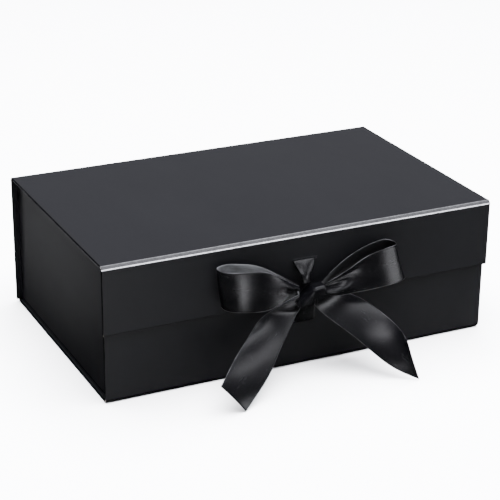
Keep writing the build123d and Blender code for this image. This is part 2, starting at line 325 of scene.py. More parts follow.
@dataclass(frozen=True)
class AdhesiveTape(Finish):
    """Milky double-sided tape with a tissue's fibres in it."""

    name: str = "tissue_tape"

    def paint(self, sheet: NodeSheet, place: Link) -> Material:
        """Lays out the finish's nodes."""
        tissue = sheet.noise(place, 900.0, 5.0, 0.7, (1.0, 1.0, 0.4))
        return sheet.surface(
            Base_Color=sheet.mix(tissue, (0.52, 0.50, 0.44), (0.74, 0.72, 0.66)),
            Roughness=0.28 + tissue * 0.2,
            Normal=sheet.bump(tissue, 0.00003),
        )


@dataclass(frozen=True)
class PlatedMetal(Finish):
    """Bright or brushed plate: fine lines along the rolling direction, and faint stains."""

    name: str
    colour: tuple
    rolled: tuple = (0.06, 1.0, 1.0)
    roughness: float = 0.24

    def paint(self, sheet: NodeSheet, place: Link) -> Material:
        """Lays out the finish's nodes."""
        lines = sheet.noise(place, 4000.0, 3.0, 0.6, self.rolled)
        stain = sheet.noise(place, 210.0, 4.0)
        darker = tuple(channel * 0.72 for channel in self.colour)
        return sheet.surface(
            Base_Color=sheet.mix(stain, darker, self.colour),
            Metallic=1.0,
            Roughness=self.roughness + lines * 0.14 + (stain - 0.5) * 0.1,
            Normal=sheet.bump(lines, 0.000006),
        )


@dataclass(frozen=True)
class SatinRibbon(Finish):
    """Black double-faced satin: long floats, corded selvedges, soft creases at the knot.

    The ribbon's own UV map is in metres, across the ribbon and along it.
    """

    name: str = "black_satin_ribbon"
    width: float = RIBBON_WIDTH * MM
    selvedge: float = 0.32 * MM
    weft_pitch: float = 0.42 * MM
    cord_pitch: float = 0.6 * MM
    low: tuple = (0.0006, 0.0006, 0.0008)
    high: tuple = (0.0014, 0.0014, 0.0017)
    roughness: float = 0.25
    float_height: float = 0.00001
    anisotropic: float = 0.35

    def paint(self, sheet: NodeSheet, place: Link) -> Material:
        """Lays out the finish's nodes; the mesh's "gather" attribute says where it is creased."""
        uv = sheet.node("ShaderNodeUVMap", {"uv_map": "ribbon"}, output="UV")
        across = sheet.node("ShaderNodeSeparateXYZ", {}, {0: uv}, "X")
        along = sheet.node("ShaderNodeSeparateXYZ", {}, {0: uv}, "Y")
        inside = across.least(self.width - across)
        edge = inside.ramp(self.selvedge * 0.75, self.selvedge * 1.15, 1.0, 0.0)
        gather = sheet.share("gather")
        floats = sheet.noise(uv, 5200.0, 2.0, 0.5, (1.0, 0.05, 1.0))
        shade = sheet.noise(uv, 130.0, 4.0, 0.6, (1.0, 0.35, 1.0))
        crease = sheet.noise(uv, 320.0, 3.0, 0.55, (1.0, 0.16, 1.0))
        weft = (along * (2 * math.pi / self.weft_pitch)).sine() * 0.5 + 0.5
        cord = (along * (2 * math.pi / self.cord_pitch)).sine() * 0.5 + 0.5
        colour = sheet.mix(shade.ramp(0.3, 0.7) * (1 - gather * 0.85), self.low, self.high)
        # painted highlight: the selvedges are lightened towards grey, fading in and out along the
        # ribbon, standing in for light on the corded edges
        lit = sheet.noise(uv, 70.0, 2.0, 0.5, (0.2, 1.0, 1.0)).ramp(0.40, 0.6, 0.08, 1.0)
        colour = sheet.mix(edge * lit * (0.55 + cord * 0.45), colour, (0.03, 0.03, 0.032))
        rough = self.roughness + (shade - 0.5) * 0.04 + floats * 0.03 + edge * 0.15
        waves = sheet.bump(sheet.noise(uv, 40.0, 1.0, 0.5, (1.0, 0.5, 1.0)), 0.0003)
        creased = sheet.bump(crease * gather, 0.00022, under=waves)
        woven = sheet.bump(floats * 0.6 + weft * 0.4, self.float_height, under=creased)
        return sheet.surface(
            Base_Color=colour,
            Roughness=rough,
            Specular_IOR_Level=0.55,
            Anisotropic=self.anisotropic,
            Normal=sheet.bump(edge * (0.6 + cord * 0.4), 0.00009, under=woven),
        )


@dataclass(frozen=True)
class PaleFloor(Finish):
    """Matt pale studio floor with a very faint mottle."""

    name: str = "pale_floor"

    def paint(self, sheet: NodeSheet, place: Link) -> Material:
        """Lays out the finish's nodes."""
        mottle = sheet.noise(place, 3.0, 3.0)
        return sheet.surface(
            Base_Color=sheet.mix(mottle, (0.90, 0.90, 0.90), (0.92, 0.92, 0.92)),
            Roughness=0.85 + mottle * 0.05,
            Specular_IOR_Level=0.2,
        )


class Finishes:
    """Every finish of the box, made once."""

    def __init__(self) -> None:
        """Builds the materials."""
        self.paper = LaminatedPaper().make()
        self.liner = LinerPaper().make()
        self.board = Greyboard().make()
        self.card = EarCard().make()
        self.tape = AdhesiveTape().make()
        self.steel = PlatedMetal("strike_steel", (0.56, 0.56, 0.58), roughness=0.3).make()
        self.nickel = PlatedMetal("magnet_nickel", (0.66, 0.63, 0.58), (1.0, 1.0, 1.0), 0.18).make()
        self.ribbon = SatinRibbon().make()
        self.reverse = SatinRibbon(
            "black_ribbon_reverse", low=(0.0006, 0.0006, 0.0007), high=(0.002, 0.002, 0.0022),
            roughness=0.46, float_height=0.00005, anisotropic=0.0,
        ).make()
        # painted light: a lighter copy of the reverse, for the inside of the left loop where it faces up
        # into the light
        self.lit_reverse = SatinRibbon(
            "lit_ribbon_reverse", low=(0.014, 0.0145, 0.015), high=(0.085, 0.087, 0.090),
            roughness=0.5, float_height=0.00005, anisotropic=0.0,
        ).make()
        self.floor = PaleFloor().make()


# ---------------------------------------------------------------- mesh making
def add_object(name: str, data: ID) -> Object:
    """Puts a mesh, light or camera into the scene as a new object."""
    made = bpy.data.objects.new(name, data)
    bpy.context.scene.collection.objects.link(made)
    return made


def corners_of(node: str) -> tuple[np.ndarray, np.ndarray]:
    """The low and high corner of a frame node, in millimetres."""
    low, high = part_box(node)
    return np.array(low) / MM, np.array(high) / MM


def lay_mesh(name: str, points: np.ndarray, faces: np.ndarray, material: Material,
             per_point: dict[str, np.ndarray] | None = None,
             uv: np.ndarray | None = None) -> Object:
    """Puts points and faces into a new smooth-shaded object at the origin.

    Args:
        name: The piece's name.
        points: An array of points, in millimetres.
        faces: An array of rows of point numbers.
        material: Its finish.
        per_point: Float attributes, one number for each point.
        uv: Two numbers for each point, for a UV map called "ribbon".

    Returns:
        The new object.
    """
    mesh = bpy.data.meshes.new(name)
    mesh.from_pydata((points.reshape(-1, 3) * MM).tolist(), [], faces.tolist())
    for key, values in (per_point or {}).items():
        attribute = mesh.attributes.new(key, "FLOAT", "POINT")
        attribute.data.foreach_set("value", values.astype(np.float32).ravel())
    if uv is not None:
        corners = np.zeros(len(mesh.loops), dtype=np.int64)
        mesh.loops.foreach_get("vertex_index", corners)
        layer = mesh.uv_layers.new(name="ribbon")
        layer.data.foreach_set("uv", uv.reshape(-1, 2)[corners].astype(np.float32).ravel())
    mesh.materials.append(material)
    mesh.polygons.foreach_set("use_smooth", np.ones(len(mesh.polygons), dtype=bool))
    return add_object(name, mesh)


def grid_faces(rows: int, columns: int, round_rows: bool = False,
               round_columns: bool = False) -> np.ndarray:
    """Quads of a grid of points; a round direction joins its last line to its first."""
    row = np.arange(rows if round_rows else rows - 1)
    column = np.arange(columns if round_columns else columns - 1)
    i, j = (part.ravel() for part in np.meshgrid(row, column, indexing="ij"))
    next_i, next_j = (i + 1) % rows, (j + 1) % columns
    return np.stack([i * columns + j, i * columns + next_j,
                     next_i * columns + next_j, next_i * columns + j], axis=1)


def close_up(made: Object, gap: float = 1e-7, drop_slivers: bool = True) -> None:
    """Merges points that lie within a gap and turns every face the same way, outwards if closed."""
    shell = bmesh.new()
    shell.from_mesh(made.data)
    bmesh.ops.remove_doubles(shell, verts=shell.verts, dist=gap)
    if drop_slivers:
        bmesh.ops.dissolve_degenerate(shell, edges=shell.edges, dist=gap)
    bmesh.ops.recalc_face_normals(shell, faces=shell.faces)
    shell.to_mesh(made.data)
    shell.free()


def spline(stations: np.ndarray, amount: int) -> np.ndarray:
    """Draws a natural cubic spline through stations of any number of columns.

    The parameter is the running distance between the stations' first three columns. The
    second derivatives solve the usual three-term system, with zero at both ends.

    Args:
        stations: One row of numbers for each station.
        amount: How many points to return.

    Returns:
        The points, evenly spaced in the parameter.
    """
    steps = np.linalg.norm(np.diff(stations[:, :3], axis=0), axis=1)
    knots = np.concatenate([[0.0], np.cumsum(steps)])
    count = len(knots)
    system = np.eye(count)
    right = np.zeros_like(stations)
    inner = np.arange(1, count - 1)
    system[inner, inner - 1] = steps[:-1]
    system[inner, inner] = 2 * (steps[:-1] + steps[1:])
    system[inner, inner + 1] = steps[1:]
    slopes = np.diff(stations, axis=0) / steps[:, None]
    right[1:-1] = 6 * np.diff(slopes, axis=0)
    bend = np.linalg.solve(system, right)
    at = np.linspace(0.0, knots[-1], amount)
    k = np.clip(np.searchsorted(knots, at, side="right") - 1, 0, count - 2)
    step = steps[k][:, None]
    left, ahead = (knots[k + 1] - at)[:, None], (at - knots[k])[:, None]
    return (
        bend[k] * left**3 / (6 * step)
        + bend[k + 1] * ahead**3 / (6 * step)
        + (stations[k] / step - bend[k] * step / 6) * left
        + (stations[k + 1] / step - bend[k + 1] * step / 6) * ahead
    )


# ---------------------------------------------------------------- paper
class Side(Enum):
    """Which way a panel's outer face looks: its axis and direction."""

    BOTTOM = (2, -1)
    TOP = (2, 1)
    FRONT = (1, -1)
    BACK = (1, 1)
    LEFT = (0, -1)
    RIGHT = (0, 1)


@dataclass
class WrappedPanel:
    """One board's wrap: a paper shell over the outer face, round the edges and turned in.

    Lengths are in millimetres. A folded end has no turn-in, because the paper runs on into
    the fold there.
    """

    name: str
    side: Side
    body: str
    low_fold: bool = False
    high_fold: bool = False
    paper: float = PAPER
    edge_round: float = 0.45
    corner_round: float = 0.9
    turn_in: float = 15.0
    fold_turn: float = 0.5
    # the next two: how much the inner rounding is lightened, as wear and painted highlight, and how wide
    # a near-black band of painted shade runs along the outer edges, in millimetres
    inner_wear_and_highlight: float = 0.0
    painted_shade_edge: float = 0.0

    def frame_of(self) -> tuple[np.ndarray, np.ndarray, np.ndarray, np.ndarray, np.ndarray]:
        """Works out the panel's place from its board.

        Returns:
            The middle of the outer face, its width, height and inward directions, and its
            (half width, half height, thickness).
        """
        low, high = corners_of(self.name + "_board")
        axis, sign = self.side.value
        height_axis = 1 if axis == 2 else 2
        width_axis = 3 - axis - height_axis
        grow = np.full(3, self.paper)
        low, high = low - grow, high + grow
        if self.low_fold:
            low[height_axis] += self.paper
        if self.high_fold:
            high[height_axis] -= self.paper
        middle = (low + high) / 2
        middle[axis] = high[axis] if sign > 0 else low[axis]
        width, height, inward = np.eye(3)[width_axis], np.eye(3)[height_axis], -sign * np.eye(3)[axis]
        sizes = high - low
        return middle, width, height, inward, np.array(
            [sizes[width_axis] / 2, sizes[height_axis] / 2, sizes[axis]]
        )

    def profile(self, half_height: float, thickness: float) -> np.ndarray:
        """The section that is carried round the panel.

        It runs from the middle of the outer face to the edge, round it in a quarter circle,
        across the edge, round again, in along the turn-in, and back between board and paper.

        Returns:
            Rows of (inset at a wrapped side, inset at a folded side, depth, share of wear and painted
            highlight, turned share, which is painted shade).
        """
        r, p, turn = self.edge_round, self.paper, min(self.turn_in, half_height * 0.8)
        angle = np.linspace(0, np.pi / 2, 6)[:, None]
        # painted shade: the outer rounding is turned past its first degrees, so it goes near black
        front = np.hstack([r - r * np.sin(angle), r - r * np.sin(angle), r - r * np.cos(angle),
                           0 * angle, np.minimum(angle * 4, 1)])
        # painted shade and highlight: the inner rounding below and the end face after it are turned, so
        # near black, and the inner rounding is lightened by the inner value as wear and painted
        # highlight
        back = np.hstack([r - r * np.cos(angle), r - r * np.cos(angle),
                          thickness - r + r * np.sin(angle),
                          np.cos(angle) ** 2 * self.inner_wear_and_highlight, 0 * angle + 1])
        end = [[0, 0, thickness - r - 0.04, 0, 1]]
        out = [[half_height, half_height, 0], [r + 6, r + 6, 0],
               [r + self.painted_shade_edge + 0.5, r + self.painted_shade_edge + 0.5, 0],
               [r + self.painted_shade_edge + 0.05, r + self.painted_shade_edge + 0.05, 0]]
        fold = self.fold_turn
        home = [[r + 0.4, fold, thickness], [turn, fold + 0.05, thickness],
                [turn, fold + 0.05, thickness - p], [r + 0.2, fold, thickness - p],
                [p + 0.15, p + 0.15, thickness - p - 0.2], [p + 0.15, p + 0.15, p + 0.2],
                [r + 0.2, r + 0.2, p], [half_height, half_height, p]]
        out, home = (np.hstack([rows, np.zeros((len(rows), 2))]) for rows in (out, home))
        # painted shade: with a band set, the last outer row is turned, so a near-black band runs along
        # the edges, as shade under the lid's overhang and in the recess
        out[-1, -1] = float(self.painted_shade_edge > 0)
        return np.vstack([out, front, end, back, home])

    def build(self, material: Material) -> None:
        """Carries the profile round the panel's rounded outline and closes it on its spine.

        For each row of the profile the outline is a rectangle set in from each side by the
        row's inset, with corners of the corner radius less the inset, at the row's depth.
        """
        middle, width, height, inward, (half_w, half_h, thickness) = self.frame_of()
        rows = self.profile(min(half_w, half_h), thickness)
        wrapped, folded, depth, wear_and_highlight, turned = rows.T
        at_low = folded if self.low_fold else wrapped
        at_high = folded if self.high_fold else wrapped
        angle = np.linspace(0, np.pi / 2, 5)
        theta = (angle[None, :] + np.arange(4)[:, None] * np.pi / 2).ravel()
        to_right = np.repeat([1, -1, -1, 1], 5)
        to_top = np.repeat([1, 1, -1, -1], 5)
        corner = np.clip(self.corner_round - wrapped, 0.25, None)
        spine = wrapped >= min(half_w, half_h)
        corner[spine] = 0.0
        corner = corner[:, None]
        a = to_right * (half_w - wrapped[:, None] - corner) + corner * np.cos(theta)
        b_high, b_low = half_h - at_high[:, None], -half_h + at_low[:, None]
        b = np.where(to_top > 0, b_high - corner, b_low + corner) + corner * np.sin(theta)
        points = (middle + a[..., None] * width + b[..., None] * height
                  + depth[:, None, None] * inward)
        made = lay_mesh(
            self.name + "_paper", points, grid_faces(*a.shape, round_columns=True), material,
            {"wear_and_highlight": np.repeat(wear_and_highlight, a.shape[1]), "turned": np.repeat(turned, a.shape[1])},
        )
        close_up(made)
        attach(made, self.body)
        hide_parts(self.name + "_wrap")
        log.info("%s: wrapped shell on %s", made.name, self.body)


@dataclass
class Crease:
    """A paper strip that joins two panels across a scored fold.

    The section is a line through four corners: on one panel, at its crease, at the other
    crease, and on the other panel. Each crease is a short curve.
    """

    name: str
    corners: tuple
    half_length: float
    # share of wear and painted highlight at the first crease, along the slope and at the second crease
    crease_wear_and_highlight: tuple
    thickness: float = 0.3
    crease_round: float = 0.55
    lift: float = 0.012
    # 1 paints the whole strip near black, as painted shade
    turned: float = 0.0

    def section(self) -> tuple[np.ndarray, np.ndarray, np.ndarray]:
        """Rounds the section's two creases.

        Near a crease the line is the quadratic curve from one side of the corner to the
        other, with the corner as its middle point.

        Returns:
            The points in Y and Z, their outward directions, and the rim share at each.
        """
        a, b, c, d = (np.array(corner, float) for corner in self.corners)
        t = np.linspace(0, 1, 9)[:, None]

        def rounded(before: np.ndarray, corner: np.ndarray, after: np.ndarray) -> np.ndarray:
            """A quadratic curve past a corner."""
            start = corner + (before - corner) / np.linalg.norm(before - corner) * self.crease_round
            end = corner + (after - corner) / np.linalg.norm(after - corner) * self.crease_round
            return (1 - t) ** 2 * start + 2 * t * (1 - t) * corner + t**2 * end

        first, second = rounded(a, b, c), rounded(b, c, d)
        slope = first[-1] + (second[0] - first[-1]) * np.linspace(0, 1, 6)[1:-1, None]
        line = np.vstack([a, first, slope, second, d])
        bell = np.sin(np.pi * t[:, 0])
        first_wear_and_highlight, between, second_wear_and_highlight = self.crease_wear_and_highlight
        wear_and_highlight = np.concatenate([
            [0.0],
            bell * first_wear_and_highlight + t[:, 0] * (1 - bell) * between,
            np.full(len(slope), between),
            bell * second_wear_and_highlight + (1 - t[:, 0]) * (1 - bell) * between,
            [0.0],
        ])
        run = np.gradient(line, axis=0)
        run /= np.linalg.norm(run, axis=1, keepdims=True)
        across = np.stack([-run[:, 1], run[:, 0]], axis=1)
        box_middle = np.array([0.0, (cad_box[0][2] + cad_box[1][2]) / 2 / MM])
        inside = box_middle - line[len(line) // 2]
        across *= -np.sign(across[len(line) // 2] @ inside)
        return line, across, wear_and_highlight

    def build(self, material: Material) -> Object:
        """Sweeps the section along X as a closed band with softened ends."""
        line, out, wear_and_highlight = self.section()
        half = self.half_length
        end_round, end_share, inner_gap, inner_stations = 0.16, 0.45, 2, 24
        ends = np.array([0.0, 0.06, end_round])
        inner = np.linspace(-half + inner_gap, half - inner_gap, inner_stations)
        x = np.concatenate([-half + ends, inner, half - ends[::-1]])
        squeeze = np.minimum(1.0, end_share + (half - np.abs(x)) / end_round * (1 - end_share))
        skin = self.lift - (1 - squeeze) * self.thickness / 2
        core = self.lift - self.thickness + (1 - squeeze) * self.thickness / 2
        loop = np.concatenate([
            line[None] + out[None] * skin[:, None, None],
            (line[None] + out[None] * core[:, None, None])[:, ::-1],
        ], axis=1)
        count = loop.shape[1]
        points = np.concatenate([np.broadcast_to(x[:, None, None], (len(x), count, 1)), loop], axis=2)
        sides = grid_faces(len(x), count, round_columns=True)
        i = np.arange(len(line) - 1)
        cap = np.stack([i, i + 1, count - 2 - i, count - 1 - i], axis=1)
        faces = np.vstack([sides, cap, cap + (len(x) - 1) * count])
        # wear and painted highlight along the creases; the inner face gets half
        shares = np.tile(np.concatenate([wear_and_highlight, wear_and_highlight[::-1] * 0.5]), len(x))
        made = lay_mesh(self.name, points, faces, material,
                        {"wear_and_highlight": shares, "turned": np.full(len(shares), self.turned)})
        close_up(made)
        return made


@dataclass
class SlitLip:
    """The pressed paper lip round a ribbon slit."""

    name: str
    middle: tuple
    body: str
    half_width: float = 7.75
    half_height: float = 0.42
    band: float = 0.55
    rise: float = 0.07

    def build(self, material: Material) -> None:
        """Carries a low half-round section round the slit's rounded outline."""
        round_slit, round_lip = 48, 12
        theta = np.linspace(0, 2 * np.pi, round_slit, endpoint=False)
        turn = np.linspace(0, 2 * np.pi, round_lip, endpoint=False)[:, None]
        reach = self.band * (1 + np.cos(turn)) / 2
        radius = self.half_height + reach
        run = np.sign(np.cos(theta)) * (self.half_width - self.half_height)
        x = self.middle[0] + run + radius * np.cos(theta)
        z = self.middle[2] + radius * np.sin(theta)
        y = self.middle[1] - self.rise * np.sin(turn) * np.ones_like(theta)
        points = np.stack([x, y, z], axis=2)
        # a faint lightening of the lip, as wear and painted highlight
        made = lay_mesh(self.name, points, grid_faces(round_lip, round_slit, True, True), material,
                        {"wear_and_highlight": np.full(points.shape[:2], 0.02)})
        close_up(made)
        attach(made, self.body)
        log.info("%s: pressed lip on %s", made.name, self.body)


class Box:
    """The wrapped panels, the folds between them, the slits, and what is glued inside."""

    def __init__(self, finishes: Finishes) -> None:
        """Keeps the finishes and lists the wrapped panels."""
        self.finishes = finishes
        self.panels = {
            # the base and lid carry wear and painted highlight on their inner rounding; the side walls
            # carry a band of painted shade along their edges
            "base": WrappedPanel("base", Side.BOTTOM, "tray", True, True, inner_wear_and_highlight=0.2),
            "back": WrappedPanel("back", Side.BACK, "tray", True, True),
            "front": WrappedPanel("front", Side.FRONT, "tray", True, False),
            "left": WrappedPanel("left", Side.LEFT, "tray", painted_shade_edge=0.8),
            "right": WrappedPanel("right", Side.RIGHT, "tray", painted_shade_edge=0.8),
            "lid": WrappedPanel("lid", Side.TOP, "lid", True, True, inner_wear_and_highlight=0.45),
            "flap": WrappedPanel("flap", Side.FRONT, "flap", False, True),
        }

    def corner(self, panel: str, end: int) -> tuple[float, float]:
        """Y and Z of a panel's outer face at its low (-1) or high (1) end."""
        middle, _, height, _, sizes = self.panels[panel].frame_of()
        place = middle + height * end * sizes[1]
        return float(place[1]), float(place[2])

    def build_panels(self) -> None:
        """Builds every wrap."""
        for panel in self.panels.values():
            panel.build(self.finishes.paper)

    def build_folds(self) -> None:
        """Builds the four creased strips; the lower two ride the tray."""
        on = 0.8
        lid_front, lid_back = self.corner("lid", -1), self.corner("lid", 1)
        flap_top, back_top = self.corner("flap", 1), self.corner("back", 1)
        half_lid = float(self.panels["lid"].frame_of()[4][0])
        # painted highlight: the three shares lighten the lid's crease a little, the slope less and the
        # flap's crease fully, as wear and as the creases' highlights; the rear fold gets a little
        front = Crease("front_fold", ((lid_front[0] + on, lid_front[1]), lid_front, flap_top,
                                      (flap_top[0], flap_top[1] - on)), half_lid, (0.12, 0.045, 1.0))
        made = front.build(self.finishes.paper)
        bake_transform(made)
        log.info("front_fold: bends between lid and flap")
        rear = Crease("rear_fold", ((back_top[0], back_top[1] - on), back_top, lid_back,
                                    (lid_back[0] - on, lid_back[1])), half_lid, (0.04, 0.01, 0.05))
        made = rear.build(self.finishes.paper)
        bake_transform(made)
        log.info("rear_fold: bends between tray and lid")
        half_base = float(self.panels["base"].frame_of()[4][0])
        # painted shade: the lower folds are turned all over, so they go near black, as the shade between
        # the walls and the base
        for name, base_end, wall, up in (("front_lower_fold", -1, "front", 0.75),
                                         ("rear_lower_fold", 1, "back", on)):
            foot, wall_foot = self.corner("base", base_end), self.corner(wall, -1)
            strip = Crease(name, ((foot[0] - base_end * on, foot[1] + 0.03), foot, wall_foot,
                                  (wall_foot[0], wall_foot[1] + up)), half_base, (0.0, 0.0, 0.0),
                           lift=0.0, turned=1.0)
            made = strip.build(self.finishes.paper)
            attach(made, "tray")
            log.info("%s: rides tray", name)

    def build_slits(self) -> None:
        """Builds the pressed lips of the two ribbon slits."""
        for name, lead, panel, body in (("upper_slit_lip", "upper_lead", "flap", "flap"),
                                        ("lower_slit_lip", "lower_lead", "front", "tray")):
            low, high = corners_of(lead)
            face = self.corner(panel, 1)[0]
            up = self.slit_height(lead, low, high)
            SlitLip(name, ((low[0] + high[0]) / 2, face, up), body).build(self.finishes.paper)

    @staticmethod
    def slit_height(lead: str, low: np.ndarray, high: np.ndarray) -> float:
        """Height of a lead's slit: the upper lead's top, or the lower lead's foot."""
        half_cloth = 0.2
        return float(high[2] - half_cloth) if lead == "upper_lead" else float(low[2] + half_cloth)

    def dress_frame_nodes(self) -> None:
        """Gives the frame's own pieces their finishes."""
        by_ending = {
            "_board": self.finishes.board,
            "_liner": self.finishes.liner,
            "_corner_angle": self.finishes.card,
            "_tape": self.finishes.tape,
            "_strike_plate": self.finishes.steel,
            "_magnet": self.finishes.nickel,
        }
        for name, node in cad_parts.items():
            for ending, material in by_ending.items():
                if name.endswith(ending):
                    node.data.materials.clear()
                    node.data.materials.append(material)

    def build(self) -> None:
        """Builds the whole box."""
        self.build_panels()
        self.build_folds()
        self.build_slits()
        self.dress_frame_nodes()


# ---------------------------------------------------------------- ribbon
def level_edges(*rows: tuple) -> tuple:
    """Stations whose two edges are level, each given as (x of one, x of two, out, up, gather)."""
    return tuple((one, out, up, two, out, up, gather) for one, two, out, up, gather in rows)


@dataclass
class RibbonPiece:
    """One visible length of ribbon between two given edges.

    Each station is (x, out, up) of one edge, the same of the other, and how gathered the
    ribbon is there. Places are in millimetres from the knot's middle in X and Z, and from the
    flap's face in Y.
    """

    name: str
    node: str
    body: str
    held: str
    stations: tuple
    crown: float = 0.5
    pleats: float = 1.5
    pleat_depth: float = 2.0
    along: int = 96
    across: int = 33
    turned: bool = False
    folded: bool = False
    layer_gap: float = 0.42
    # the reverse gets the lighter copy, painted light for an inside that faces up into the light
    lit_inside: bool = False

    def fold_over(self, width: np.ndarray, w: np.ndarray) -> tuple[np.ndarray, np.ndarray]:
        """Folds the ribbon to and fro within a narrower width.

        The cloth's middle lies flat in front. Past each side its place is a triangle wave,
        so that it turns back, and each layer lies one gap further behind.

        Returns:
            For each station and each w, the share across the visible width and the depth.
        """
        width = width[:, None]
        spare = (RIBBON_WIDTH - width) / 2
        flat = (w[None] * RIBBON_WIDTH - spare) / width
        share = 1 - np.abs(np.mod(flat, 2.0) - 1)
        beyond = np.maximum(-flat, flat - 1)
        return share, np.clip(beyond * 4, 0, 1) * self.layer_gap + np.maximum(beyond - 1, 0) * 0.4

    def build(self, bow: "Bow") -> None:
        """Rules a sheet between the two splined edges, then crowns and pleats it.

        With w from 0 to 1 across the ribbon, a point is (1 - w) edge one + w edge two, moved
        along the sheet's own normal by
        crown (1 - gather) (1 - (2w - 1)^2) + gather depth sin(2 pi pleats w).
        """
        rows = np.array(self.stations, float)
        middle = (rows[:, :3] + rows[:, 3:6]) / 2
        drawn = spline(np.hstack([middle, rows]), self.along)
        one, two, gather = drawn[:, 3:6], drawn[:, 6:9], np.clip(drawn[:, 9], 0.0, 1.0)
        w = np.linspace(0.0, 1.0, self.across)
        share, behind = np.broadcast_to(w, (self.along, self.across)), 0.0
        if self.folded:
            share, behind = self.fold_over(np.linalg.norm(two - one, axis=1), w)
        sheet = one[:, None] * (1 - share)[..., None] + two[:, None] * share[..., None]
        run = np.gradient(drawn[:, :3], axis=0)
        normal = np.cross(run, two - one)
        normal /= np.linalg.norm(normal, axis=1, keepdims=True)
        bulge = self.crown * (1 - gather)[:, None] * (1 - (2 * share - 1) ** 2)
        fold = gather[:, None] * self.pleat_depth * np.sin(2 * np.pi * self.pleats * share)
        sheet = sheet + normal[:, None] * (bulge + fold)[..., None]
        sheet[..., 1] -= behind
        steps = np.linalg.norm(np.diff(drawn[:, :3], axis=0), axis=1)
        length = np.concatenate([[0.0], np.cumsum(steps)])
        uv = np.stack(np.broadcast_arrays(w[None] * RIBBON_WIDTH * MM, length[:, None] * MM), axis=2)
        points = bow.place(sheet)
        faces = grid_faces(self.along, self.across)
        made = lay_mesh(self.name, points, faces[:, ::-1] if self.turned else faces, bow.material,
                        {"gather": np.repeat(gather, self.across)}, uv)
        bow.thicken(made, bow.lit_reverse if self.lit_inside else bow.reverse)
        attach(made, self.body)
        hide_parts(self.node)
        log.info("%s: %.1f mm of ribbon on %s", self.name, length[-1], self.body)


